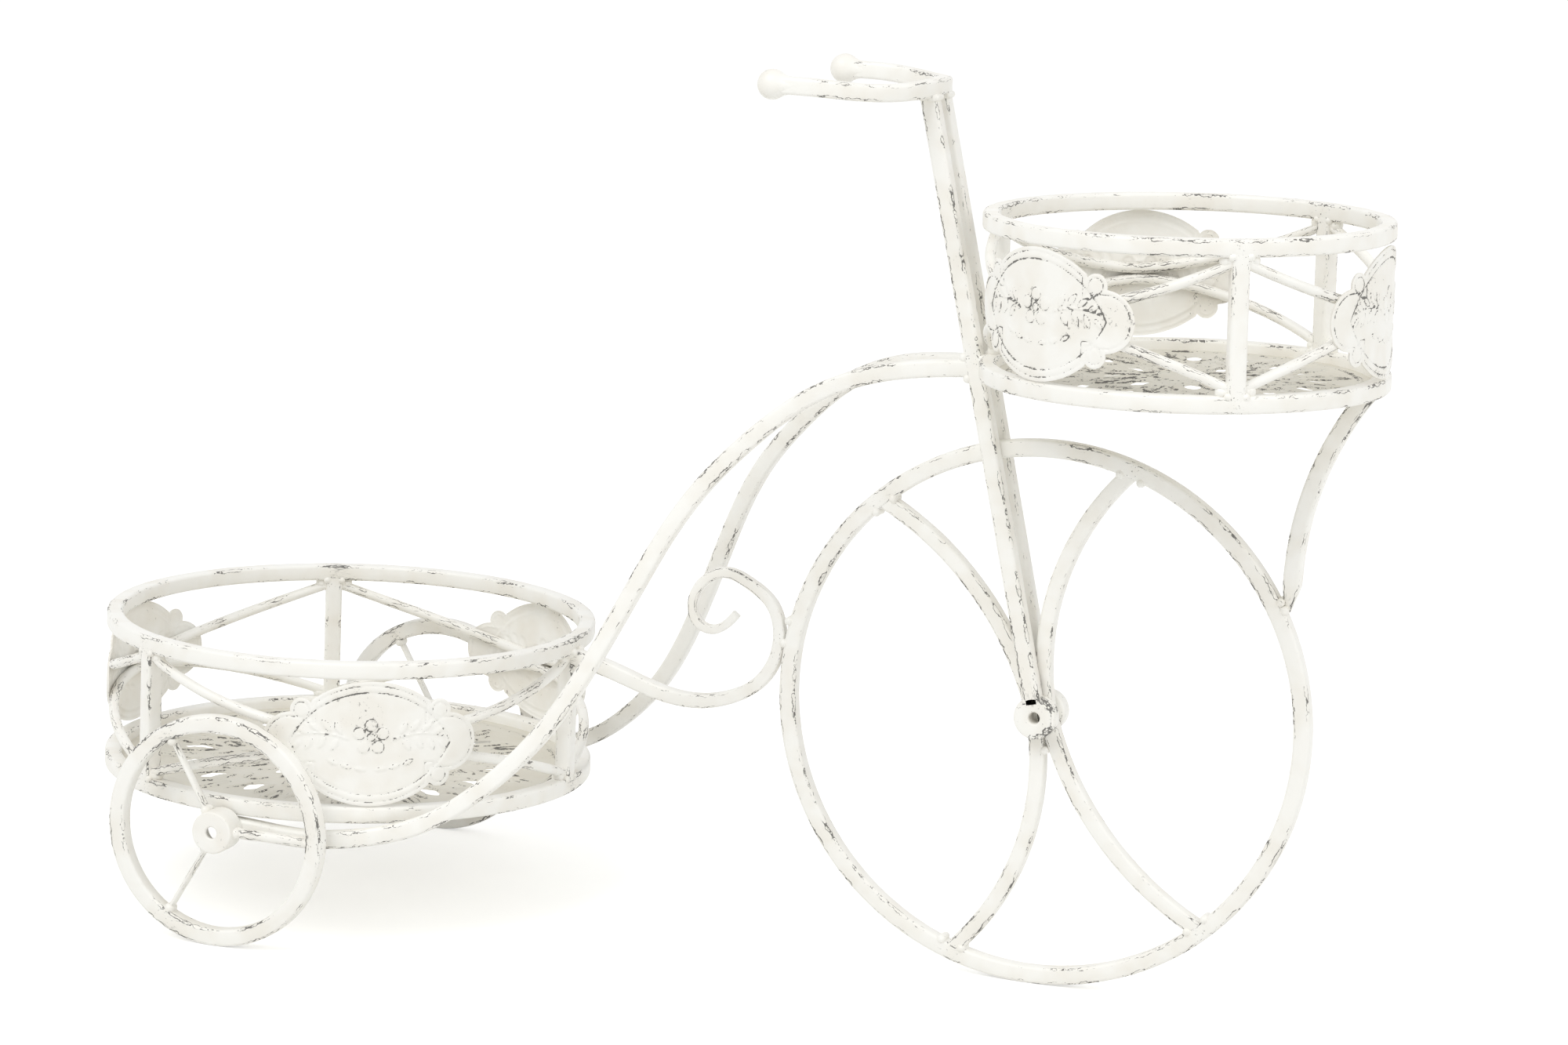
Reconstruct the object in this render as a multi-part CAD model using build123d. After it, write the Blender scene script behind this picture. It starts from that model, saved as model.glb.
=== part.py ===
from build123d import *
from math import cos, radians, sin, tan
import os

# Bicycle plant stand: one large front wheel, two small rear wheels and two round baskets
# for flower pots, welded together from bent iron bar. Millimetres, +Z up, +X to the front.
# The origin is on the ground, in the middle of the stand's length and width.

os.makedirs("parts", exist_ok=True)

# Stock
bar = 10.0
rod_d = 6.3
sheet = 1.5

# Wheels
front_wheel_d = 320.0
rear_wheel_d = 137.0
wheelbase = 448.0
rear_track = 314.0

# Front wheel
front_hub_d = 25.0
front_hub_bore = 6.7
front_spoke_width = 8.0
front_spoke_turn = 11.8
front_spoke_spread = 60.2
front_spoke_radii = (157.5, 190.0)
opposite = 180.0

# Rear wheels
rear_hub_d = 25.0
rear_hub_length = 16.0
rear_hub_bore = 6.8
rear_hub_wall = 3.0
rear_spoke_count = 3

# Fork and handlebar
fork_lean = 13.1
handlebar_z = 511.5
handlebar_r = 60.5
handlebar_arm = 11.8
handlebar_ahead = -2.5
grip_d = 17.5
grip_seat = 3.0

# Baskets
basket_height = 95.5
basket_posts = 3
front_basket_d = 232.0
front_basket_ahead = 72.5
front_basket_z = 360.0
front_basket_tilt = 1.4
rear_basket_clearance = 4.5
rear_basket_ahead = 9.5
rear_basket_z = 76.0
brace_power = 1.6
brace_steps = 5
brace_below_ring = 1.575

# Plaques, drawn flat and pressed to the basket's curve
plaque_arc_radius = 57.0
plaque_height = 74.0
plaque_crown_width = 70.0
plaque_shoulder_d = 13.6
plaque_shoulder_out = 40.0
plaque_shoulder_up = 19.5
plaque_side_d = 35.0
plaque_side_out = 44.0
plaque_waist_height = 28.0
plaque_gap = 0.1

# Basket floors
floor_up = 2.0
floor_hole_width = 8.0
floor_hole_length = 20.0
floor_hole_row_shares = (0.36, 0.68)
floor_hole_row_counts = (8, 16)

# Rails from the fork down to the rear hubs. The bend's points are a share of the way back from
# the fork, a height, and a share of the way out to the hub. The foot's points are measured ahead
# of the rear axle instead.
rail_bend = (
    (0.0, 358.5, 0.0), (0.185, 352.6, 0.110), (0.301, 339.5, 0.185), (0.425, 310.0, 0.28),
    (0.528, 274.0, 0.362), (0.625, 219.0, 0.478), (0.69, 177.5, 0.57), (0.77, 136.0, 0.673),
    (0.886, 99.0, 0.79), (1.0, 77.6, 0.876),
)
rail_foot = ((82.0, 69.8, 0.938), (51.0, 66.5, 0.981))
rail_foot_start = 111.0
rail_root_ahead = 1.4
rail_root_out = 8.0
rail_end_past_hub = 8.0
rail_end_rise = 1.0
rail_end_level = 30.0

# Stub posts between the rails and the rear basket
stub_d = 5.0
stub_turn = 63.3
stub_top_below_ring = 2.0

# Scroll between the rear basket and the front wheel. The curl is measured back from the rim's
# rear and up from the front axle, the tail in shares of the way from the curl to the basket's ring.
scroll_tail = ((1.06, 1.0), (0.783, 0.743), (0.289, 0.057))
scroll_curl = (
    (48.0, -17.0), (31.0, -12.5), (13.5, -1.5), (4.0, 14.5), (2.5, 32.0), (8.0, 46.0), (21.0, 56.0),
    (38.0, 61.5), (51.0, 55.0), (57.5, 40.4), (53.5, 29.5), (44.5, 26.5), (35.5, 31.0), (29.8, 37.5),
)
scroll_below_ring = 1.0
scroll_tip = 5.0

# Arm from the front wheel up to the front basket
arm_radius = 190.0
arm_foot_inside_rim = 16.5
arm_foot_above_axle = 92.0
arm_foot_bevel = 13.0

# Places worked out from the sizes above
front_wheel_r = front_wheel_d / 2
rear_wheel_r = rear_wheel_d / 2
tilt = radians(front_basket_tilt)
rear_basket_d = rear_track - bar - 2 * rear_basket_clearance
front_reach = front_basket_ahead + front_basket_d / 2 * cos(tilt) + basket_height / 2 * sin(tilt)
rear_reach = wheelbase - rear_basket_ahead + rear_basket_d / 2
front_x = (rear_reach - front_reach) / 2
rear_x = front_x - wheelbase
fork_y = bar
fork_slope = tan(radians(fork_lean))
fork_top_x = front_x - fork_slope * (handlebar_z + bar / 2 - front_wheel_r)
handlebar_x = fork_top_x + handlebar_ahead - handlebar_r + bar / 2
rail_root_back = fork_slope * (rail_bend[0][1] - front_wheel_r) - rail_root_ahead
far = 2 * (wheelbase + front_wheel_d)


def save(name, shape):
    """Write one named piece."""
    shape.label = name
    export_step(shape, "parts/" + name + ".step")


def disc_y(x, y, z, radius, thickness):
    """Disc whose axis runs across the stand, centred at x, y, z."""
    return Pos(x, y, z) * Rot(90, 0, 0) * Cylinder(radius, thickness)


def ring_y(x, y, z, radius, inner, thickness):
    """Ring whose axis runs across the stand."""
    return disc_y(x, y, z, radius, thickness) - disc_y(x, y, z, inner, thickness + bar)


def side_sheet(face, thickness):
    """Stand a flat outline up in the middle plane and give it a thickness across the stand."""
    return extrude(Plane.XZ * face, amount=thickness / 2, both=True)


def ribbon(points, start_width, end_width):
    """Outline of a bent bar along a smooth line of points, with its width going from start to end."""
    line = Spline(*points)
    count = 2 * len(points)
    sides = ([], [])
    for step in range(count + 1):
        part = step / count
        spot = line @ part
        along = line % part
        half = (start_width + (end_width - start_width) * part) / 2
        for side, sign in zip(sides, (1, -1)):
            side.append((spot.X - sign * half * along.Y, spot.Y + sign * half * along.X))
    edges = [
        Spline(*sides[0]),
        Line(sides[0][-1], sides[1][-1]),
        Spline(*sides[1]),
        Line(sides[1][0], sides[0][0]),
    ]
    return make_face(edges)


# Front wheel
front_rim = ring_y(front_x, 0, front_wheel_r, front_wheel_r, front_wheel_r - bar, bar)
save("front_rim", front_rim)


def arc_band(start, end, radius, width, thickness):
    """Band of a bar bent from start to end in the side view, its hollow side on the left."""
    chord = end - start
    across = Vector(-chord.Y, chord.X).normalized()
    centre = (start + end) / 2 + across * (radius**2 - (chord.length / 2) ** 2) ** 0.5
    first, last = start - centre, end - centre
    middle = (first + last).normalized()

    def arc(reach):
        spots = [centre + way.normalized() * reach for way in (first, middle, last)]
        return ThreePointArc(*spots)

    outer, inner = arc(radius + width / 2), arc(radius - width / 2)
    face = make_face([outer, Line(outer @ 1, inner @ 1), inner, Line(inner @ 0, outer @ 0)])
    return side_sheet(face, thickness)


def front_spoke(turn):
    """One bar bent through the wheel from rim to rim, with its back at the wheel's centre."""
    way = Vector(cos(radians(turn)), sin(radians(turn)))
    axle = Vector(front_x, front_wheel_r)
    near = axle + way * front_spoke_width / 2
    bent = None
    for side, radius in zip((1, -1), front_spoke_radii):
        rim_turn = radians(turn + side * front_spoke_spread)
        reach = front_wheel_r - bar / 2
        tip = axle + Vector(cos(rim_turn), sin(rim_turn)) * reach
        ends = (tip, near) if side == 1 else (near, tip)
        half = arc_band(*ends, radius, front_spoke_width, bar)
        bent = half if bent is None else bent + half
    behind = Box(far, far, far, align=(Align.MAX, Align.CENTER, Align.CENTER))
    bent -= Pos(front_x, 0, front_wheel_r) * Rot(0, -turn, 0) * behind
    return bent & disc_y(front_x, 0, front_wheel_r, front_wheel_r - bar, bar)


save("front_spoke_front", front_spoke(front_spoke_turn))
save("front_spoke_rear", front_spoke(front_spoke_turn + opposite))


# Fork and its hub discs, one on each side of the wheel
def fork_blade(side):
    """Leaning square bar from the hub disc up to the underside of the handlebar."""
    length = (handlebar_z - front_wheel_r) / cos(radians(fork_lean)) + bar
    bar_up = Box(bar, bar, length, align=(Align.CENTER, Align.CENTER, Align.MIN))
    blade = Pos(front_x, side * fork_y, front_wheel_r) * Rot(0, -fork_lean, 0) * bar_up
    blade -= disc_y(front_x, side * fork_y, front_wheel_r, front_hub_d / 2, bar)
    above = Box(far, far, far, align=(Align.CENTER, Align.CENTER, Align.MIN))
    return blade - Pos(front_x, 0, handlebar_z) * above


def front_hub_disc(side):
    """Hub disc at the foot of one fork blade, with its bore."""
    return ring_y(front_x, side * fork_y, front_wheel_r, front_hub_d / 2, front_hub_bore / 2, bar)


sides = {"right": -1, "left": 1}
blades = {}
for name, side in sides.items():
    blades[name] = fork_blade(side)
    save("fork_blade_" + name, blades[name])
    save("front_hub_disc_" + name, front_hub_disc(side))

# Handlebar, bent in plan, with a ball grip on each end
bend = Circle(handlebar_r + bar / 2) - Circle(handlebar_r - bar / 2)
bend -= Rectangle(far, far, align=(Align.MAX, Align.CENTER))
outline = bend
for side in sides.values():
    arm_outline = Rectangle(handlebar_arm, bar, align=(Align.MAX, Align.CENTER))
    outline += Pos(0, side * handlebar_r) * arm_outline
save("handlebar", extrude(Pos(handlebar_x, 0, handlebar_z) * outline, amount=bar))


def grip(side):
    """Ball with a flat seat on the square end of the bar."""
    half = Circle(grip_d / 2) & Rectangle(grip_d, grip_d, align=(Align.CENTER, Align.MIN))
    kept = Rectangle(2 * grip_d, 2 * grip_d, align=(Align.MAX, Align.CENTER))
    half &= Pos(grip_d / 2 - grip_seat, 0) * kept
    ball = revolve(half, axis=Axis.X)
    end_x = handlebar_x - handlebar_arm
    return Pos(end_x - grip_d / 2 + grip_seat, side * handlebar_r, handlebar_z + bar / 2) * ball


for name, side in sides.items():
    save("grip_" + name, grip(side))


# Rear wheels
def rear_hub(side):
    """Cup on the end of a rail: a bored outer wall, open towards the middle of the stand."""
    y = side * rear_track / 2
    cup = ring_y(rear_x, y, rear_wheel_r, rear_hub_d / 2, rear_hub_bore / 2, rear_hub_length)
    inner = rear_hub_d / 2 - rear_hub_wall
    return cup - disc_y(rear_x, y - side * rear_hub_wall, rear_wheel_r, inner, rear_hub_length)


def rear_spoke(side, turn):
    """Straight rod from the hub to the rim."""
    start = rear_hub_d / 2 - rod_d / 2
    length = rear_wheel_r - bar - start + rod_d / 2
    rod = Cylinder(rod_d / 2, length, align=(Align.CENTER, Align.CENTER, Align.MIN))
    place = Pos(rear_x, side * rear_track / 2, rear_wheel_r) * Rot(0, -turn, 0)
    spoke = place * Pos(start, 0, 0) * Rot(0, 90, 0) * rod
    spoke -= disc_y(rear_x, side * rear_track / 2, rear_wheel_r, rear_hub_d / 2, rear_hub_length)
    return spoke & disc_y(rear_x, side * rear_track / 2, rear_wheel_r, rear_wheel_r - bar, bar)


for name, side in sides.items():
    y = side * rear_track / 2
    save("rear_rim_" + name, ring_y(rear_x, y, rear_wheel_r, rear_wheel_r, rear_wheel_r - bar, bar))
    save("rear_hub_" + name, rear_hub(side))
    for number in range(rear_spoke_count):
        spoke = rear_spoke(side, number * 360 / rear_spoke_count)
        save("rear_spoke_" + name + "_" + str(number + 1), spoke)

# Rails: what the side view and the plan view of each bent bar have in common
hub_out = rear_track / 2 - rear_hub_length / 2 - bar / 2
rail_end_back = wheelbase + rail_end_past_hub
rail_end_z = rear_wheel_r + rail_end_rise
bend_run = wheelbase - rail_foot_start - rail_root_back
rail_points = [(rail_root_back + share * bend_run, up, out) for share, up, out in rail_bend]
rail_points += [(wheelbase - ahead, up, out) for ahead, up, out in rail_foot]
side_points = [(back, up) for back, up, out in rail_points]
side_points += [(rail_end_back - bar, rail_end_z), (rail_end_back, rail_end_z)]
plan_points = [(back, rail_root_out + out * (hub_out - rail_root_out)) for back, up, out in rail_points]
plan_points += [(rail_end_back - rail_end_level, hub_out), (rail_end_back, hub_out)]


def rail(name, side):
    """Bent bar from the back of a fork blade to the inner face of a rear hub."""
    side_view = ribbon([(front_x - back, up) for back, up in side_points], bar, bar)
    line = Spline(*[(front_x - back, side * out) for back, out in plan_points])
    count = 2 * len(plan_points)
    spots = [line @ (step / count) for step in range(count + 1)]
    near = [(spot.X, spot.Y - bar / 2) for spot in spots]
    away = [(spot.X, spot.Y + bar / 2) for spot in spots]
    plan_view = make_face([
        Spline(*near),
        Line(near[-1], away[-1]),
        Spline(*away),
        Line(away[0], near[0]),
    ])
    bent = side_sheet(side_view, rear_track) & extrude(plan_view, amount=handlebar_z)
    hub = disc_y(rear_x, side * rear_track / 2, rear_wheel_r, rear_hub_d / 2, rear_hub_length)
    return bent - blades[name] - hub


rails = {}
for name, side in sides.items():
    rails[name] = rail(name, side)
    save("rail_" + name, rails[name])


# Baskets, each built about its own axis with the underside of its bottom ring at z = 0
def basket_ring(radius, z):
    """Square bar bent to a circle."""
    lift = Pos(0, 0, z + bar / 2)
    return lift * Cylinder(radius, bar) - lift * Cylinder(radius - bar, 2 * bar)


def basket_floor(radius):
    """Thin tray inside the bottom ring, pierced by rows of long holes."""
    tray = Circle(radius - bar)
    for share, count in zip(floor_hole_row_shares, floor_hole_row_counts):
        row = PolarLocations(share * (radius - bar), count, start_angle=180 / count)
        tray -= row * SlotOverall(floor_hole_length, floor_hole_width)
    return Pos(0, 0, floor_up) * extrude(tray, amount=sheet)


def basket_post(radius, turn):
    """Upright square bar between the two rings."""
    height = basket_height - 2 * bar
    post = Pos(radius - bar / 2, 0, height / 2) * Box(bar, bar, height)
    post &= Pos(0, 0, height / 2) * Cylinder(radius, height)
    return Pos(0, 0, bar) * Rot(0, 0, turn) * post


def basket_brace(radius, up):
    """Rod bent from one post's end, past the middle of the bay at +X, to the next post's end."""
    middle = radius - bar / 2
    bay = 360 / basket_posts
    rise = basket_height / 2 - bar - rod_d - brace_below_ring

    def spot(share):
        angle = radians(share * bay / 2)
        height = basket_height / 2 + up * (rod_d / 2 + rise * abs(share) ** brace_power)
        return Vector(middle * cos(angle), middle * sin(angle), height)

    path = []
    for sign in (-1, 1):
        tangent = Vector(0, sign, 0)
        half = []
        for step in range(brace_steps):
            start = spot(sign * step / brace_steps)
            end = spot(sign * (step + 1) / brace_steps)
            arc = TangentArc(start, end, tangent=tangent)
            tangent = arc % 1
            half.append(arc)
        path.append(half)
    solid = None
    for half in path:
        wire = Wire(half)
        first = half[0]
        section = Plane(origin=first @ 0, z_dir=first % 0) * Circle(rod_d / 2)
        piece = sweep(section, path=wire)
        solid = piece if solid is None else solid + piece
    return solid


def plaque_outline():
    """Flat outline of a plaque: a lens with four shoulder lobes and two round ends."""
    sink = plaque_arc_radius - plaque_height / 2
    lens = (Pos(0, -sink) * Circle(plaque_arc_radius)) & (Pos(0, sink) * Circle(plaque_arc_radius))
    outline = lens & Rectangle(plaque_crown_width, plaque_height)
    outline += Rectangle(2 * plaque_side_out, plaque_waist_height)
    for side in (-1, 1):
        outline += Pos(side * plaque_side_out, 0) * Circle(plaque_side_d / 2)
        for up in (-1, 1):
            shoulder = Pos(side * plaque_shoulder_out, up * plaque_shoulder_up)
            outline += shoulder * Circle(plaque_shoulder_d / 2)
    return outline


def basket_plaque(radius):
    """Curved sheet in front of the braces, level with the outside of the rings."""
    inner = radius - bar / 2 + rod_d / 2 + plaque_gap
    shell = Cylinder(inner + sheet, plaque_height) - Cylinder(inner, 2 * plaque_height)
    stand_up = Plane(origin=(0, 0, 0), x_dir=(0, 1, 0), z_dir=(1, 0, 0))
    block = extrude(stand_up * plaque_outline(), amount=radius)
    return Pos(0, 0, basket_height / 2) * (shell & block)


def basket(prefix, radius, first_post, place, cuts):
    """Write all the pieces of one basket, cutting its lower pieces to meet what carries it."""

    def fit(piece):
        for cut in cuts:
            piece -= cut
        return piece

    bay = 360 / basket_posts
    top_ring = basket_ring(radius, basket_height - bar)
    bottom_ring = basket_ring(radius, 0)
    upper = basket_brace(radius, 1) - top_ring
    lower = basket_brace(radius, -1) - bottom_ring
    for turn in (-bay / 2, bay / 2):
        upper -= basket_post(radius, turn)
        lower -= basket_post(radius, turn)
    plaque = basket_plaque(radius)
    save(prefix + "_bottom_ring", fit(place * bottom_ring))
    save(prefix + "_top_ring", place * top_ring)
    save(prefix + "_floor", place * basket_floor(radius))
    for number in range(basket_posts):
        label = str(number + 1)
        post_turn = first_post + number * bay
        bay_place = place * Rot(0, 0, post_turn + bay / 2)
        save(prefix + "_post_" + label, place * basket_post(radius, post_turn))
        save(prefix + "_upper_brace_" + label, bay_place * upper)
        save(prefix + "_lower_brace_" + label, fit(bay_place * lower))
        save(prefix + "_plaque_" + label, bay_place * plaque)


rear_radius = rear_basket_d / 2
rear_basket_x = rear_x + rear_basket_ahead
rear_place = Pos(rear_basket_x, 0, rear_basket_z)
basket("rear_basket", rear_radius, 0, rear_place, [])

front_radius = front_basket_d / 2
front_basket_x = front_x + front_basket_ahead
half_up = basket_height / 2
front_place = Pos(front_basket_x, 0, front_basket_z + half_up) * Rot(0, -front_basket_tilt, 0)
front_place *= Pos(0, 0, -half_up)
basket("front_basket", front_radius, 180 / basket_posts, front_place, [*blades.values(), *rails.values()])


# Stub posts from the rails to the rear basket
def stub(name, side):
    """Short rod welded to the outside of the rear basket's bottom ring and to the rail."""
    reach = rear_radius + stub_d / 2
    x = rear_basket_x + reach * cos(radians(stub_turn))
    y = side * reach * sin(radians(stub_turn))
    top = rear_basket_z + bar - stub_top_below_ring
    rod = Cylinder(stub_d / 2, top - rear_wheel_r, align=(Align.CENTER, Align.CENTER, Align.MIN))
    return Pos(x, y, rear_wheel_r) * rod - rails[name]


for name, side in sides.items():
    save("rail_stub_" + name, stub(name, side))

# Scroll from the rear basket to the front wheel
curl_points = [(front_x - front_wheel_r - back, front_wheel_r + up) for back, up in scroll_curl]
curl_x, curl_z = curl_points[0]
ring_x = rear_basket_x + rear_radius
ring_z = rear_basket_z + basket_height - bar - scroll_below_ring
tail_points = [
    (curl_x + share * (ring_x - curl_x), curl_z + rise * (ring_z - curl_z))
    for share, rise in scroll_tail
]
scroll_face = ribbon(tail_points + curl_points, bar, scroll_tip)
scroll = side_sheet(scroll_face, bar)
scroll -= Pos(rear_basket_x, 0, 0) * Cylinder(rear_radius, far)
scroll -= disc_y(front_x, 0, front_wheel_r, front_wheel_r, bar)
save("scroll", scroll)

# Arm from the front wheel to the front basket
arm_foot_x = front_x + front_wheel_r - arm_foot_inside_rim
arm_foot_z = front_wheel_r + arm_foot_above_axle
arm_x = arm_foot_x + arm_radius
arm = ring_y(arm_x, 0, arm_foot_z, arm_radius + bar / 2, arm_radius - bar / 2, bar)
arm &= Pos(arm_x, 0, front_wheel_r) * Box(far, bar, far, align=(Align.MAX, Align.CENTER, Align.MIN))
arm -= disc_y(front_x, 0, front_wheel_r, front_wheel_r, bar)
bevel_place = Pos(arm_foot_x + bar / 2, 0, arm_foot_z) * Rot(0, arm_foot_bevel, 0)
arm -= bevel_place * Box(far, far, far, align=(Align.MIN, Align.CENTER, Align.MAX))
arm -= front_place * Box(far, far, far, align=(Align.CENTER, Align.CENTER, Align.MIN))
save("basket_arm", arm)
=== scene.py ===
import math

import bmesh
import bpy
import numpy as np
from mathutils import Matrix, Vector


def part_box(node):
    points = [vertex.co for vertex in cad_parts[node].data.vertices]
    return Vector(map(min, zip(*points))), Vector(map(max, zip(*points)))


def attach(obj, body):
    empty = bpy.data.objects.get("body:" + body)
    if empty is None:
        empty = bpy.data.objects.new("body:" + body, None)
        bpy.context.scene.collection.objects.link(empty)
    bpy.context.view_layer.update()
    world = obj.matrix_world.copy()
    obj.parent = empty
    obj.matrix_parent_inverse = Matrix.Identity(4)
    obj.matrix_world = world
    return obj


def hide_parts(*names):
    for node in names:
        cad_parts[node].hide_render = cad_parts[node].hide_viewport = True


bl_info = {
    "name": "Bicycle plant stand",
    "version": (1, 0, 0),
    "blender": (4, 5, 0),
    "location": "3D View > Sidebar > Plant Stand",
    "description": "Dresses the welded iron stand: rounded bars, welds, plaques, trays and rubbed paint",
    "category": "Object",
}

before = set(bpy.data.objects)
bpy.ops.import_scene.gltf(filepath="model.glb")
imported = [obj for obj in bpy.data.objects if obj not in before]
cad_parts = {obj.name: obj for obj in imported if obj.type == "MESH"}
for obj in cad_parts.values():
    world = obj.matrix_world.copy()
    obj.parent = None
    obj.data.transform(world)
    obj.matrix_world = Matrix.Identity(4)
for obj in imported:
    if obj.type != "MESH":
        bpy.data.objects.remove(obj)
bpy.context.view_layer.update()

MM = 0.001
# Distance from an edge, in metres, from which no edge mark shows
UNMARKED = 0.004
# How far a joint's specks reach along a bar, in millimetres
JOINT_REACH = 9.0
BODY = "root"
RIGHT_LEFT = (("right", -1), ("left", 1))
FRONT_AXLE = sum(corner[0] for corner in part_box("front_rim")) / 2 / MM
FORK_LEAN = math.radians(13.1)
BOTTOM_RING_RISE = 205
REAR_BASKET_AHEAD = 9.5
TURNED_STEPS = 64


def linear(code):
    """sRGB hex colour as linear red, green, blue."""
    parts = [int(code[place:place + 2], 16) / 255 for place in (1, 3, 5)]
    return tuple(p / 12.92 if p <= 0.04045 else ((p + 0.055) / 1.055) ** 2.4 for p in parts)


def length(name, description, size):
    """A property for one size, given in millimetres."""
    return bpy.props.FloatProperty(
        name=name, description=description, default=size * MM, min=0.0, unit="LENGTH", precision=4
    )


class StandSizes(bpy.types.PropertyGroup):
    """Sizes of the bars, wheels and baskets."""

    bar: length("Bar", "Side of the square bar", 10.0)
    bar_round: length("Bar Rounding", "Radius of the bar's edges", 1.9)
    rod: length("Rod", "Diameter of the basket and rear wheel rods", 6.3)
    front_wheel: length("Front Wheel", "Diameter of the front wheel", 320.0)
    rear_wheel: length("Rear Wheel", "Diameter of a rear wheel", 137.0)
    wheelbase: length("Wheelbase", "From the front axle to the rear axle", 448.0)
    track: length("Track", "From one rear wheel's middle plane to the other's", 314.0)
    front_axle: length("Front Axle", "Front axle ahead of the stand's middle", FRONT_AXLE)
    basket_height: length("Basket Height", "Over both rings", 95.5)
    front_basket: length("Front Basket", "Diameter of the front basket", 232.0)
    rear_basket: length("Rear Basket", "Diameter of the rear basket", 295.0)
    weld: length("Weld Bead", "Radius of a common weld bead", 3.2)


class StandPaint(bpy.types.PropertyGroup):
    """Colours of the finish."""

    paint: bpy.props.FloatVectorProperty(
        name="Paint", description="Antique white paint", subtype="COLOR",
        default=linear("#FBFAF5"), min=0, max=1,
    )
    shade: bpy.props.FloatVectorProperty(
        name="Aged Paint", description="Paint where it is thin or dusty", subtype="COLOR",
        default=linear("#F5F2EA"), min=0, max=1,
    )
    rubbed: bpy.props.FloatVectorProperty(
        name="Rubbed", description="Dark coat that shows where the paint is rubbed off", subtype="COLOR",
        default=linear("#3F3E3C"), min=0, max=1,
    )
    wear: bpy.props.FloatProperty(
        name="Wear", description="How much of the edges is rubbed", subtype="FACTOR",
        default=1.0, min=0, max=2,
    )


class StandStudio(bpy.types.PropertyGroup):
    """Light, floor and camera."""

    floor: bpy.props.FloatVectorProperty(
        name="Floor", description="Studio floor", subtype="COLOR", default=linear("#F2F2F0"), min=0, max=1
    )
    key: bpy.props.FloatProperty(
        name="Key Light", description="Soft light from above the camera", default=47.0, unit="POWER"
    )
    sky: bpy.props.FloatProperty(name="Surround", description="Strength of the white surround", default=0.64)
    lens: bpy.props.FloatProperty(
        name="Lens", description="Focal length on a 36 mm frame", default=111.82, unit="CAMERA"
    )


# Node trees

def add(tree, kind, settings=(), **inputs):
    """Add a node with its settings, or the name of its operation, and give its inputs, by name or as
    _0, _1: a link, a node for its first output, or a value."""
    node = tree.nodes.new(kind)
    settings = {"operation": settings} if isinstance(settings, str) else dict(settings)
    for name, value in settings.items():
        setattr(node, name, value)
    for name, value in inputs.items():
        socket = node.inputs[int(name[1:])] if name[0] == "_" else node.inputs[name.replace("_", " ")]
        value = value.outputs[0] if isinstance(value, bpy.types.Node) else value
        if isinstance(value, bpy.types.NodeSocket):
            tree.links.new(value, socket)
        else:
            socket.default_value = value
    return node


def new_tree(name, inputs):
    """Geometry node tree with named inputs after its geometry, and its group input node."""
    tree = bpy.data.node_groups.new(name, "GeometryNodeTree")
    tree.interface.new_socket("Geometry", in_out="INPUT", socket_type="NodeSocketGeometry")
    for label, kind in inputs:
        tree.interface.new_socket(label, in_out="INPUT", socket_type="NodeSocket" + kind)
    tree.interface.new_socket("Geometry", in_out="OUTPUT", socket_type="NodeSocketGeometry")
    return tree, add(tree, "NodeGroupInput")


def end_tree(tree, geometry, material):
    """Realize, give the material, and hand the geometry out."""
    real = add(tree, "GeometryNodeRealizeInstances", Geometry=geometry)
    painted = add(tree, "GeometryNodeSetMaterial", Geometry=real, Material=material)
    add(tree, "NodeGroupOutput", _0=painted)
    return tree


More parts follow.
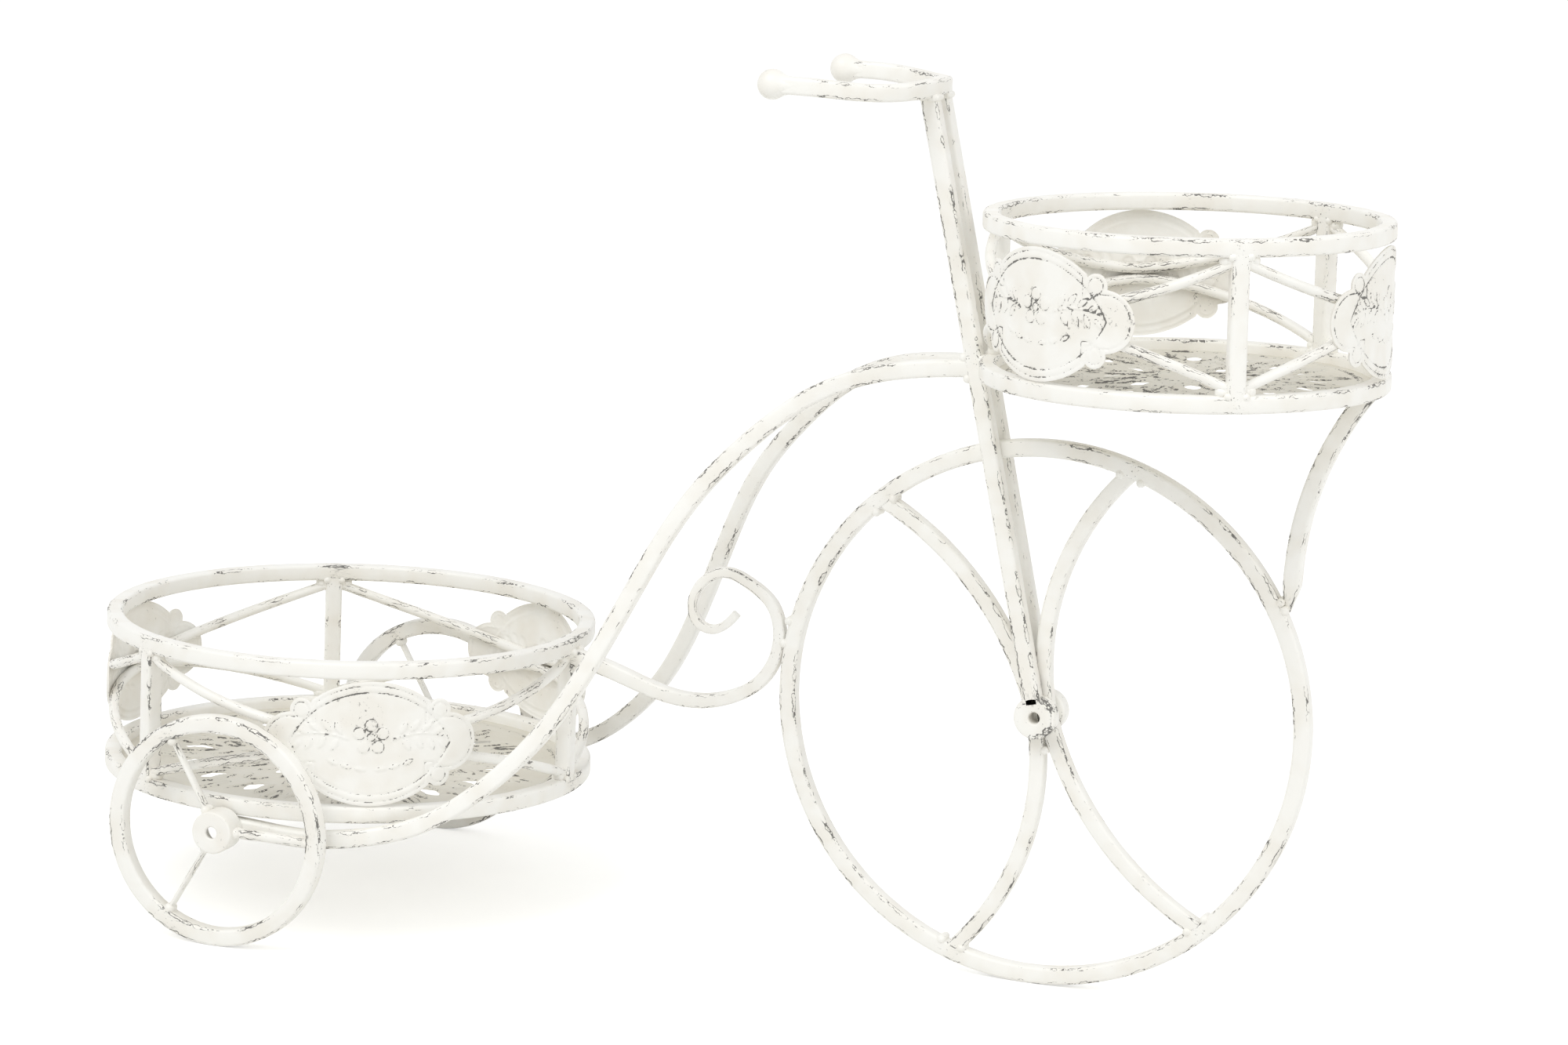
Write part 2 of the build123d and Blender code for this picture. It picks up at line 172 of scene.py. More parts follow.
def bar_tree():
    """Sweeps a rounded square bar, or a round rod, along each line of points of the mesh."""
    tree, given = new_tree("bent_bar", (
        ("Side", "Float"), ("Rounding", "Float"), ("Round Rod", "Bool"), ("Material", "Material"),
    ))
    side, rounding = given.outputs["Side"], given.outputs["Rounding"]
    square = add(tree, "GeometryNodeCurvePrimitiveQuadrilateral", _0=side, _1=side)
    rounded = add(
        tree, "GeometryNodeFilletCurve", {"mode": "POLY"}, Curve=square, Count=3, Radius=rounding,
    )
    index = add(tree, "GeometryNodeInputIndex")
    place = add(tree, "ShaderNodeMath", "MODULO", _0=index, _1=4.0)
    flat = add(tree, "ShaderNodeMath", "GREATER_THAN", _0=place, _1=2.5)
    halved = add(tree, "GeometryNodeSubdivideCurve", Curve=rounded, Cuts=flat)
    half = add(tree, "ShaderNodeMath", "MULTIPLY", _0=side, _1=0.5)
    circle = add(
        tree, "GeometryNodeCurvePrimitiveCircle", {"mode": "RADIUS"}, Resolution=16, Radius=half,
    )
    section = add(
        tree, "GeometryNodeSwitch", {"input_type": "GEOMETRY"},
        Switch=given.outputs["Round Rod"], _1=halved, _2=circle,
    )
    around = add(tree, "GeometryNodeSplineParameter")
    whole = add(tree, "GeometryNodeSplineLength")
    quarter = add(tree, "ShaderNodeMath", "MULTIPLY", _0=whole, _1=0.25)
    eighth = add(tree, "ShaderNodeMath", "MULTIPLY", _0=whole, _1=0.125)
    shift = add(tree, "ShaderNodeMath", "MULTIPLY", _0=rounding, _1=-math.pi / 4)
    at = add(tree, "ShaderNodeMath", "ADD", _0=around.outputs["Length"], _1=shift)
    at = add(tree, "ShaderNodeMath", "ADD", _0=at, _1=quarter)
    edge = add(tree, "ShaderNodeMath", "PINGPONG", _0=at, _1=eighth)
    profile = section
    for name, value in (("around", around.outputs["Length"]), ("edge", edge.outputs[0])):
        profile = add(
            tree, "GeometryNodeStoreNamedAttribute", {"data_type": "FLOAT", "domain": "POINT"},
            Geometry=profile, Name=name, Value=value,
        )
    line = add(tree, "GeometryNodeMeshToCurve", Mesh=given)
    lie = add(tree, "GeometryNodeInputNamedAttribute", {"data_type": "FLOAT_VECTOR"}, Name="lie")
    line = add(
        tree, "GeometryNodeSetCurveNormal", {"mode": "FREE"}, Curve=line, Normal=lie,
    )
    along = add(tree, "GeometryNodeSplineParameter")
    line = add(
        tree, "GeometryNodeStoreNamedAttribute", {"data_type": "FLOAT", "domain": "POINT"},
        Geometry=line, Name="along", Value=along.outputs["Length"],
    )
    girth = add(tree, "GeometryNodeInputNamedAttribute", {"data_type": "FLOAT"}, Name="girth")
    bar = add(
        tree, "GeometryNodeCurveToMesh", _0=line, _1=profile, Scale=girth, Fill_Caps=True,
    )
    smooth = add(tree, "GeometryNodeSetShadeSmooth", Geometry=bar, Shade_Smooth=True)
    return end_tree(tree, smooth, given.outputs["Material"])


def bead_tree():
    """Puts an uneven weld bead on each point of the mesh."""
    tree, given = new_tree("weld_bead", (
        ("Unevenness", "Float"), ("Grain", "Float"), ("Material", "Material"),
    ))
    drop = add(tree, "GeometryNodeMeshIcoSphere", Radius=1.0, Subdivisions=3)
    spots = add(tree, "GeometryNodeMeshToPoints", _0=given)
    size = add(tree, "GeometryNodeInputNamedAttribute", {"data_type": "FLOAT_VECTOR"}, Name="size")
    put = add(
        tree, "GeometryNodeInstanceOnPoints", Points=spots, Instance=drop,
        Scale=size,
    )
    real = add(tree, "GeometryNodeRealizeInstances", Geometry=put)
    place = add(tree, "GeometryNodeInputPosition")
    rough = add(tree, "ShaderNodeTexNoise", Vector=place, Scale=given.outputs["Grain"], Detail=2.0)
    centred = add(tree, "ShaderNodeMath", "SUBTRACT", _0=rough, _1=0.5)
    amount = add(
        tree, "ShaderNodeMath", "MULTIPLY",
        _0=centred, _1=given.outputs["Unevenness"],
    )
    out = add(tree, "GeometryNodeInputNormal")
    push = add(
        tree, "ShaderNodeVectorMath", "SCALE", _0=out, Scale=amount,
    )
    uneven = add(tree, "GeometryNodeSetPosition", Geometry=real, Offset=push)
    smooth = add(tree, "GeometryNodeSetShadeSmooth", Geometry=uneven, Shade_Smooth=True)
    return end_tree(tree, smooth, given.outputs["Material"])


def run_tree(piece, tree, **values):
    """Run a tree on a piece's mesh and leave the plain mesh that comes out."""
    modifier = piece.modifiers.new(tree.name, "NODES")
    modifier.node_group = tree
    for item in tree.interface.items_tree:
        key = item.name.replace(" ", "_").lower()
        if item.in_out == "INPUT" and key in values:
            modifier[item.identifier] = values[key]
    ready = piece.evaluated_get(bpy.context.evaluated_depsgraph_get())
    plain = bpy.data.meshes.new_from_object(ready)
    piece.modifiers.remove(modifier)
    start = piece.data
    piece.data = plain
    bpy.data.meshes.remove(start)
    plain.name = piece.name


# Meshes

def new_piece(name, points, edges=(), faces=()):
    """Object at the origin with a mesh of these points, in metres."""
    mesh = bpy.data.meshes.new(name)
    mesh.from_pydata([tuple(map(float, p)) for p in points], list(edges), list(faces))
    piece = bpy.data.objects.new(name, mesh)
    bpy.context.scene.collection.objects.link(piece)
    return piece


def spread(mesh, name, values, kind="FLOAT"):
    """Store one value a point on the mesh."""
    attribute = mesh.attributes.new(name, kind, "POINT")
    flat = np.asarray(values, dtype=np.float32).ravel()
    attribute.data.foreach_set("vector" if kind == "FLOAT_VECTOR" else "value", flat)


def unroll(mesh, offset):
    """UV map that runs along and around the bar, in metres, closed over its seams."""
    values = {}
    for name in ("along", "around"):
        numbers = np.empty(len(mesh.vertices), dtype=np.float32)
        mesh.attributes[name].data.foreach_get("value", numbers)
        values[name] = numbers
    corners = np.empty(len(mesh.loops), dtype=np.int32)
    mesh.loops.foreach_get("vertex_index", corners)
    starts = np.empty(len(mesh.polygons), dtype=np.int32)
    counts = np.empty(len(mesh.polygons), dtype=np.int32)
    mesh.polygons.foreach_get("loop_start", starts)
    mesh.polygons.foreach_get("loop_total", counts)
    spots = []
    for name in ("along", "around"):
        numbers = values[name]
        step = np.diff(np.unique(np.round(numbers, 6)))
        whole = numbers.max() + (step.min() if len(step) else 0)
        here = numbers[corners]
        quads = starts[counts == 4]
        block = here[quads[:, None] + np.arange(4)]
        wraps = (block.max(axis=1) - block.min(axis=1)) > 0.5 * whole
        block[wraps] = np.where(block[wraps] < 0.5 * whole, block[wraps] + whole, block[wraps])
        here[quads[:, None] + np.arange(4)] = block
        spots.append(here + offset)
    layer = mesh.uv_layers.new(name="line")
    layer.data.foreach_set("uv", np.stack(spots, axis=1).astype(np.float32).ravel())
    for name in ("along", "around"):
        mesh.attributes.remove(mesh.attributes[name])


def mark(piece, joint, edge=UNMARKED):
    """Give all points, or each, their distance from an edge and the wear of a joint."""
    count = len(piece.data.vertices)
    spread(piece.data, "edge", np.broadcast_to(edge, count))
    spread(piece.data, "joint", np.full(count, joint))


def finish_piece(piece, slot, *nodes):
    """Sharpen the hard edges, put the piece on the body it rides on, and hide the CAD nodes it stands for.
    """
    piece.data.set_sharp_from_angle(angle=math.radians(50.0))
    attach(piece, BODY)
    if nodes:
        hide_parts(*nodes)


class Line:
    """Middle line of one bar: points in millimetres, the way its flat lies, and its girth."""

    def __init__(self, points, lie, girth=1.0, closed=False):
        self.points = np.asarray(points, dtype=float)
        count = len(self.points)
        self.lie = np.broadcast_to(np.asarray(lie, dtype=float), (count, 3))
        self.girth = np.broadcast_to(np.asarray(girth, dtype=float), (count,))
        self.closed = closed


def sweep(name, line, side, rounding, node, joints, seed, rod=False):
    """One painted bar or rod along a line, which stands for a CAD node. The seed shifts its scratches."""
    points = line.points
    count = len(points)
    edges = [(step, (step + 1) % count) for step in range(count if line.closed else count - 1)]
    piece = new_piece(name, points * MM, edges)
    spread(piece.data, "lie", line.lie, "FLOAT_VECTOR")
    spread(piece.data, "girth", line.girth)
    near = np.zeros(count)
    for joint in joints:
        gap = np.linalg.norm(points - np.asarray(joint, dtype=float), axis=1)
        near = np.maximum(near, np.exp(-(gap / JOINT_REACH) ** 2))
    spread(piece.data, "joint", near)
    run_tree(piece, TREES["bar"], side=side, rounding=rounding, round_rod=rod, material=PAINTS["bar"])
    unroll(piece.data, 0.37 * seed)
    for extra in ("lie", "girth"):
        if extra in piece.data.attributes:
            piece.data.attributes.remove(piece.data.attributes[extra])
    finish_piece(piece, "painted_bar", node)


def circle(centre, radius, count, upright=False, start=0.0, end=360.0):
    """Points round a circle, flat or upright in the side view."""
    closed = abs(end - start) >= 360
    turns = np.radians(np.linspace(start, end, count, endpoint=not closed))
    flat = np.zeros_like(turns)
    across, along = np.cos(turns) * radius, np.sin(turns) * radius
    across = (across, flat, along) if upright else (across, along, flat)
    return np.asarray(centre, dtype=float) + np.stack(across, axis=1)


def at_turn(centre, radius, turn):
    """The point at a turn on an upright circle."""
    return circle(centre, radius, 2, True, turn, turn + 1)[0]


def arc_between(start, end, radius, count):
    """Points on an arc in the side view, its hollow side on the right of the way for a positive radius."""
    chord = (end - start)[[0, 2]]
    across = np.array([chord[1], -chord[0]]) / np.linalg.norm(chord) * math.copysign(1, radius)
    centre = (start + end)[[0, 2]] / 2 + across * math.sqrt(radius**2 - (chord @ chord) / 4)
    turns = [math.atan2(spot[2] - centre[1], spot[0] - centre[0]) for spot in (start, end)]
    sweep_by = (turns[1] - turns[0] + math.pi) % (2 * math.pi) - math.pi
    turn = np.linspace(turns[0], turns[0] + sweep_by, count)
    reach = abs(radius)
    return np.stack([
        centre[0] + reach * np.cos(turn), np.full(count, start[1]), centre[1] + reach * np.sin(turn),
    ], axis=1)


def smooth_line(points, count):
    """Evenly spaced points on a natural spline through the points."""
    points = np.asarray(points, dtype=float)
    gaps = np.linalg.norm(np.diff(points, axis=0), axis=1)
    at = np.concatenate([[0], np.cumsum(gaps)])
    size = len(points)
    left = np.zeros((size, size))
    right = np.zeros_like(points)
    left[0, 0] = left[-1, -1] = 1
    for row in range(1, size - 1):
        left[row, row - 1] = gaps[row - 1]
        left[row, row] = 2 * (gaps[row - 1] + gaps[row])
        left[row, row + 1] = gaps[row]
        right[row] = 6 * (
            (points[row + 1] - points[row]) / gaps[row] - (points[row] - points[row - 1]) / gaps[row - 1]
        )
    bend = np.linalg.solve(left, right)
    wanted = np.linspace(0, at[-1], count)
    place = np.clip(np.searchsorted(at, wanted, side="right") - 1, 0, size - 2)
    before = (wanted - at[place])[:, None]
    after = (at[place + 1] - wanted)[:, None]
    gap = gaps[place][:, None]
    here, there = points[place], points[place + 1]
    return (
        bend[place] * after**3 / (6 * gap) + bend[place + 1] * before**3 / (6 * gap)
        + (here / gap - bend[place] * gap / 6) * after + (there / gap - bend[place + 1] * gap / 6) * before
    )


def lathe(node, outline, place, slot, joint, edges=UNMARKED, steps=TURNED_STEPS):
    """Turned piece that stands for a CAD node: outline of (radius, height) in millimetres about its own Z,
    placed by a matrix."""
    name = node + "_turned"
    bm = bmesh.new()
    loops = []
    for radius, height in outline:
        if radius == 0:
            loops.append([bm.verts.new(place @ Vector((0, 0, height * MM)))])
            continue
        ring = []
        for step in range(steps):
            turn = 2 * math.pi * step / steps
            spot = Vector((radius * MM * math.cos(turn), radius * MM * math.sin(turn), height * MM))
            ring.append(bm.verts.new(place @ spot))
        loops.append(ring)
    pairs = list(zip(loops, loops[1:]))
    if outline[0][0] > 0 and outline[-1][0] > 0:
        pairs.append((loops[-1], loops[0]))
    for low, high in pairs:
        for step in range(steps):
            after = (step + 1) % steps
            if len(low) == 1 and len(high) == 1:
                break
            if len(low) == 1:
                bm.faces.new((low[0], high[after], high[step]))
            elif len(high) == 1:
                bm.faces.new((low[step], low[after], high[0]))
            else:
                bm.faces.new((low[step], low[after], high[after], high[step]))
    bmesh.ops.recalc_face_normals(bm, faces=bm.faces)
    mesh = bpy.data.meshes.new(name)
    bm.to_mesh(mesh)
    bm.free()
    mesh.shade_smooth()
    mesh.materials.append(PAINTS["cast"])
    piece = bpy.data.objects.new(name, mesh)
    bpy.context.scene.collection.objects.link(piece)
    mark(piece, joint, edges)
    finish_piece(piece, slot, node)


def rounded(points, radius, steps=4):
    """Round the corners of a closed outline of (radius, height) points."""
    out = []
    count = len(points)
    for place in range(count):
        before, here, after = (Vector(points[(place + shift) % count]) for shift in (-1, 0, 1))
        into, onto = (before - here), (after - here)
        cut = min(radius, into.length / 2, onto.length / 2)
        start, end = here + into.normalized() * cut, here + onto.normalized() * cut
        for step in range(steps + 1):
            share = step / steps
            spot = start * (1 - share) ** 2 + here * 2 * share * (1 - share) + end * share**2
            out.append((spot.x, spot.y))
    return out


def pressed_sheet(node, slot, solid, relief, low, high, pitch, thick, bend, material, marks):
    """Sheet cut to where solid() is below zero, pressed to relief(), bent, and rubbed where marks() is near
    zero. Works in millimetres."""
    columns = int(round((high[0] - low[0]) / pitch)) + 1
    rows = int(round((high[1] - low[1]) / pitch)) + 1
    xs = low[0] + np.arange(columns) * pitch
    ys = low[1] + np.arange(rows) * pitch
    gx, gy = np.meshgrid(xs, ys)
    field = solid(gx, gy)
    field = np.where(np.abs(field) < 0.12 * pitch, -1e-9, field)
    spots, lookup = [], {}

    def grid_spot(row, column):
        key = (row, column)
        if key not in lookup:
            lookup[key] = len(spots)
            spots.append((xs[column], ys[row]))
        return lookup[key]

    def crossing(a, b):
        key = (a, b) if a < b else (b, a)
        if key not in lookup:
            fa, fb = field[key[0]], field[key[1]]
            share = fa / (fa - fb)
            lookup[key] = len(spots)
            spots.append((
                xs[key[0][1]] + share * (xs[key[1][1]] - xs[key[0][1]]),
                ys[key[0][0]] + share * (ys[key[1][0]] - ys[key[0][0]]),
            ))
        return lookup[key]

    faces = []
    inside = field < 0
    any_in = inside[:-1, :-1] | inside[:-1, 1:] | inside[1:, :-1] | inside[1:, 1:]
    for row, column in zip(*np.nonzero(any_in)):
        row, column = int(row), int(column)
        ring = [(row, column), (row, column + 1), (row + 1, column + 1), (row + 1, column)]
        face = []
        for a, b in zip(ring, ring[1:] + ring[:1]):
            if inside[a]:
                face.append(grid_spot(*a))
            if inside[a] != inside[b]:
                face.append(crossing(a, b))
        faces.append(face)
    flat = np.array(spots)
    lift = relief(flat[:, 0], flat[:, 1])
    count = len(flat)
    front = bend(flat[:, 0], flat[:, 1], lift)
    back = bend(flat[:, 0], flat[:, 1], lift - thick)
    used = dict.fromkeys(side for face in faces for side in zip(face, face[1:] + face[:1]))
    walls = [(b, a, a + count, b + count) for a, b in used if (b, a) not in used]
    under = [[corner + count for corner in reversed(face)] for face in faces]
    piece = new_piece(node + "_pressed", np.concatenate([front, back]) * MM, (), faces + under + walls)
    piece.data.validate()
    piece.data.shade_smooth()
    piece.data.materials.append(material)
    mark(piece, 0.0, np.concatenate([marks(flat[:, 0], flat[:, 1]) * MM, np.full(count, UNMARKED)]))
    finish_piece(piece, slot, node)


# Materials

def painted_iron(name, bars, line_from=1.07, sway_reach=0.0016, painted_shade=0.0):
    """Wrought iron, sprayed in antique white over a dark coat, then rubbed through by hand along the edges:
    satin, a little uneven from the forge, with thin broken dark lines on edges and specks at welds. A share
    of grey beige over all of it is painted shade."""
    look = bpy.context.scene.stand_paint
    material = bpy.data.materials.new(name)
    material.use_nodes = True
    tree = material.node_tree
    tree.nodes.clear()
    spot = add(tree, "ShaderNodeTexCoord").outputs["Object"]
    if bars:
        # A rubbing block leaves broken scratches about 4 mm long and 0.9 mm apart, along the bar
        line = add(tree, "ShaderNodeUVMap", {"uv_map": "line"})
        grain_at = add(tree, "ShaderNodeMapping", Vector=line, Scale=(1 / 0.0042, 1 / 0.0009, 1.0))
    else:
        # On pressed and turned pieces it catches what stands up, in spots of about 2 mm
        grain_at = add(tree, "ShaderNodeMapping", Vector=spot, Scale=(1 / 0.0022, 1 / 0.0022, 1 / 0.0022))
    grain = add(tree, "ShaderNodeTexNoise", Vector=grain_at, Scale=1.0, Detail=4.0, Roughness=0.65)
    patch = add(tree, "ShaderNodeTexNoise", Vector=spot, Scale=1 / 0.026, Detail=2.0, Roughness=0.6)
    sway = add(tree, "ShaderNodeTexNoise", Vector=spot, Scale=1 / 0.006, Detail=3.0, Roughness=0.6)
    edge = add(tree, "ShaderNodeAttribute", {"attribute_name": "edge"}).outputs["Fac"]
    joint = add(tree, "ShaderNodeAttribute", {"attribute_name": "joint"}).outputs["Fac"]
    # The dark line wanders beside the edge, up to 1.6 mm on bars
    astray = add(tree, "ShaderNodeMapRange", Value=sway, _1=0.35, _2=0.65, _3=0.0, _4=sway_reach)
    off = add(tree, "ShaderNodeMath", "SUBTRACT", _0=edge, _1=astray)
    off = add(tree, "ShaderNodeMath", "ABSOLUTE", _0=off)
    thin = add(tree, "ShaderNodeMapRange", Value=off, _1=0.0001, _2=0.0005, _3=1.0, _4=0.0)
    near_edge = add(tree, "ShaderNodeMapRange", Value=edge, _1=0.0, _2=0.0032, _3=1.0, _4=0.0)
    worn = add(tree, "ShaderNodeMapRange", Value=patch, _1=0.40, _2=0.64, _3=0.0, _4=1.0)
    some = add(tree, "ShaderNodeMath", "MULTIPLY_ADD", _0=worn, _1=0.36, _2=grain)
    some = add(tree, "ShaderNodeMath", "MULTIPLY_ADD", _0=joint, _1=0.12, _2=some)
    lined = add(tree, "ShaderNodeMath", "MULTIPLY_ADD", _0=thin, _1=0.42, _2=some)
    lines = add(tree, "ShaderNodeMapRange", Value=lined, _1=line_from, _2=line_from + 0.10, _3=0.0, _4=1.0)
    scuffed = add(tree, "ShaderNodeMath", "MULTIPLY_ADD", _0=near_edge, _1=0.16, _2=some)
    scuffs = add(tree, "ShaderNodeMapRange", Value=scuffed, _1=0.99, _2=1.12, _3=0.0, _4=0.6)
    fine = add(tree, "ShaderNodeTexNoise", Vector=spot, Scale=1 / 0.0016, Detail=3.0, Roughness=0.7)
    speck_level = add(tree, "ShaderNodeMath", "MULTIPLY_ADD", _0=joint, _1=0.13, _2=fine)
    specks = add(tree, "ShaderNodeMapRange", Value=speck_level, _1=0.745, _2=0.80, _3=0.0, _4=1.0)
    marks = add(tree, "ShaderNodeMath", "MAXIMUM", _0=lines, _1=specks)
    marks = add(tree, "ShaderNodeMath", "MAXIMUM", _0=marks, _1=scuffs)
    marks = add(
        tree, "ShaderNodeMath", {"operation": "MULTIPLY", "use_clamp": True}, _0=marks, _1=look.wear * 0.85,
    )
    # Clean paint, aged in patches, darkened all over on the trays as painted shade inside the baskets, and
    # the dark coat where it is rubbed
    colour = (*look.paint, 1)
    for share, over in ((worn, look.shade), (painted_shade, linear("#C9C3B0")), (marks, look.rubbed)):
        colour = add(
            tree, "ShaderNodeMix", {"data_type": "RGBA"}, _0=share, _6=colour, _7=(*over, 1),
        ).outputs[2]
    swell = add(tree, "ShaderNodeTexNoise", Vector=spot, Scale=1 / 0.009, Detail=3.0)
    bump = add(tree, "ShaderNodeBump", Height=swell, Strength=0.5, Distance=0.0006)
    skin = add(tree, "ShaderNodeBump", Height=fine, Strength=0.35, Distance=0.00012, Normal=bump)
    rough = add(tree, "ShaderNodeMapRange", Value=marks, _1=0.0, _2=1.0, _3=0.42, _4=0.7)
    skin_of = add(tree, "ShaderNodeBsdfPrincipled", Base_Color=colour, Roughness=rough, Normal=skin, IOR=1.5)
    add(tree, "ShaderNodeOutputMaterial", Surface=skin_of)
    return material


TREES = {}
PAINTS = {}


def looking(tree):
    """One where the camera looks, straight or by way of a mirror or a glass."""
    seen = add(tree, "ShaderNodeLightPath").outputs
    mirrored = add(tree, "ShaderNodeMath", "MAXIMUM", _0=seen["Is Camera Ray"], _1=seen["Is Glossy Ray"])
    return add(tree, "ShaderNodeMath", "MAXIMUM", _0=mirrored, _1=seen["Is Transmission Ray"])


def prepare(context):
    """Make the node trees and the paints once, and give all sizes in millimetres."""
    if "bar" not in TREES:
        TREES["bar"] = bar_tree()
        TREES["bead"] = bead_tree()
        PAINTS["bar"] = painted_iron("antique_white_on_iron_bar", True)
        PAINTS["cast"] = painted_iron("antique_white_on_turned_iron", False)
        PAINTS["sheet"] = painted_iron("antique_white_on_pressed_sheet", False, 0.97, 0.0003)
        # The trays' paint is darkened all over towards a grey beige, as painted shade inside the baskets
        PAINTS["tray"] = painted_iron("dusty_white_on_pierced_tray", False, 0.97, 0.0006, 0.55)
    group = context.scene.stand_sizes
    return {name: getattr(group, name) / MM for name in StandSizes.__annotations__}


def bar_piece(name, line, size, seed, joints=()):
    """Painted square bar that stands for the CAD node of that name."""
    sweep(
        name + "_bar", line, size["bar"] * MM, size["bar_round"] * MM, node=name, joints=joints, seed=seed,
    )


def rod_piece(name, points, size, seed, diameter=None, joints=()):
    """Painted round rod that stands for the CAD node of that name."""
    diameter = diameter or size["rod"]
    sweep(
        name + "_rod", Line(points, (0, 0, 1)), diameter * MM, diameter / 2 * MM,
        node=name, joints=joints, rod=True, seed=seed,
    )


# Front spokes: their turn, half their spread, each half's side and bend radius, half the gap at the axle,
# and their bar's share of the common bar
SPOKE_TURN, SPOKE_SPREAD, SPOKE_HALF_GAP, SPOKE_GIRTH = 11.8, 60.2, 4.0, 0.93
SPOKE_BENDS = ((1, 157.5), (-1, 190.0))
# Front hub disc: hole radius, outer radius and half its thickness
FRONT_HUB = (3.35, 12.5, 5.0)
# Turns a piece's own Z into the stand's Y
UPRIGHT = Matrix.Rotation(math.pi / 2, 4, "X")


class STAND_OT_front_wheel(bpy.types.Operator):
    """Front wheel: rim, the two bent spokes and the hub discs"""

    bl_idname = "stand.front_wheel"
    bl_label = "Front Wheel"

    def execute(self, context):
        size = prepare(context)
        axle = np.array([size["front_axle"], 0, size["front_wheel"] / 2])
        radius = (size["front_wheel"] - size["bar"]) / 2
        spokes, joints = [], []
        for name, turn in (("front", SPOKE_TURN), ("rear", SPOKE_TURN + 180)):
            middle = at_turn(axle, SPOKE_HALF_GAP, turn)
            halves = []
            for side, bend in SPOKE_BENDS:
                tip = at_turn(axle, radius, turn + side * SPOKE_SPREAD)
                halves.append(arc_between(middle, tip, bend * side, 36))
            points = np.concatenate([halves[0][:0:-1], halves[1]])
            spokes.append((name, points))
            joints += [points[0], points[-1]]
        rim = Line(circle(axle, radius, 180, True), (0, 1, 0), closed=True)
        bar_piece("front_rim", rim, size, 1, joints)
        for place, (name, points) in enumerate(spokes):
            spoke = Line(points, (0, 1, 0), SPOKE_GIRTH)
            bar_piece("front_spoke_" + name, spoke, size, 2 + place, [*joints, axle])
        for name, side in RIGHT_LEFT:
            hole, outer, half = FRONT_HUB
            ring = rounded([(hole, -half), (outer, -half), (outer, half), (hole, half)], 1.4)
            place = Matrix.Translation(Vector((axle[0], side * size["bar"], axle[2])) * MM) @ UPRIGHT
            # The coat is rubbed through round the disc's outer corners
            edges = [UNMARKED if reach < outer - 1.7 else 0.0003 for reach, _ in ring]
            lathe("front_hub_disc_" + name, ring, place, "painted_bar", 0.5, np.repeat(edges, TURNED_STEPS))
        return {"FINISHED"}


# Height of the blades' tops, and how far from the axle they start
BLADE_TOP, BLADE_START = 513.0, 8.0
# Handlebar: height, radius of the bow, length of its straight ends, and how far it lies behind the blades
HANDLEBAR = (516.5, 60.5, 11.8, 2.5)
# Grip: radius of the ball, and the outline of its neck
BALL = 8.75
NECK = ((5.9, 7.3), (5.5, 8.6), (5.2, 10.2), (5.0, 12.5), (4.9, 14.0), (0, 14.2))


class STAND_OT_fork(bpy.types.Operator):
    """Fork blades, handlebar and its ball grips"""

    bl_idname = "stand.fork"
    bl_label = "Fork and Handlebar"

    def execute(self, context):
        size = prepare(context)
        lean = FORK_LEAN
        foot = np.array([size["front_axle"], 0, size["front_wheel"] / 2])
        rise = (BLADE_TOP - foot[2]) / math.cos(lean)
        for seed, (name, side) in enumerate(RIGHT_LEFT):
            reach = rise * np.linspace(BLADE_START / rise, 1, 60)
            points = foot + np.stack([-math.sin(lean) * reach, 0 * reach, math.cos(lean) * reach], axis=1)
            points[:, 1] = side * size["bar"]
            ring = foot + np.array([-math.tan(lean) * BOTTOM_RING_RISE, side * 10, BOTTOM_RING_RISE])
            joints = [points[0], points[-1], ring]
            bar_piece("fork_blade_" + name, Line(points, (0, 1, 0)), size, 5 + seed, joints)
        height, bow, arm, behind = HANDLEBAR
        bend_x = foot[0] - math.tan(lean) * (height - foot[2]) - behind - bow + size["bar"] / 2
        bend = circle((bend_x, 0, height), bow, 64, False, -90, 90)
        # Bent cold over a form, each half hangs 2 mm low between its grip and the blades
        bend[:, 2] -= 2.0 * np.sin(np.radians(np.linspace(-180, 180, 64))) ** 2
        near = [(bend_x - arm * share, -bow, height) for share in (1, 0.75, 0.5, 0.25)]
        far = [(bend_x - arm * share, bow, height) for share in (0.25, 0.5, 0.75, 1)]
        points = np.concatenate([near, bend, far])
        bar_piece("handlebar", Line(points, (0, 0, 1), 0.985), size, 8, [(bend_x + 56, 0, 511)])
        for name, side in RIGHT_LEFT:
            ball = [(BALL * math.cos(math.radians(turn)), BALL * math.sin(math.radians(turn)))
                    for turn in range(-80, 50, 10)]
            outline = [(0, -BALL), *ball, *NECK]
            ball_at = Vector((bend_x - arm - 5.75, side * bow, height)) * MM
            place = Matrix.Translation(ball_at) @ Matrix.Rotation(math.pi / 2, 4, "Y")
            lathe("grip_" + name, outline, place, "painted_grip", 0.1, steps=40)
        return {"FINISHED"}


# Outline of a rear hub cup, as radius and height, open to the outside
REAR_CUP = ((3.4, -8), (12.5, -8), (12.5, 8), (9.5, 8), (9.5, -5), (3.4, -5))


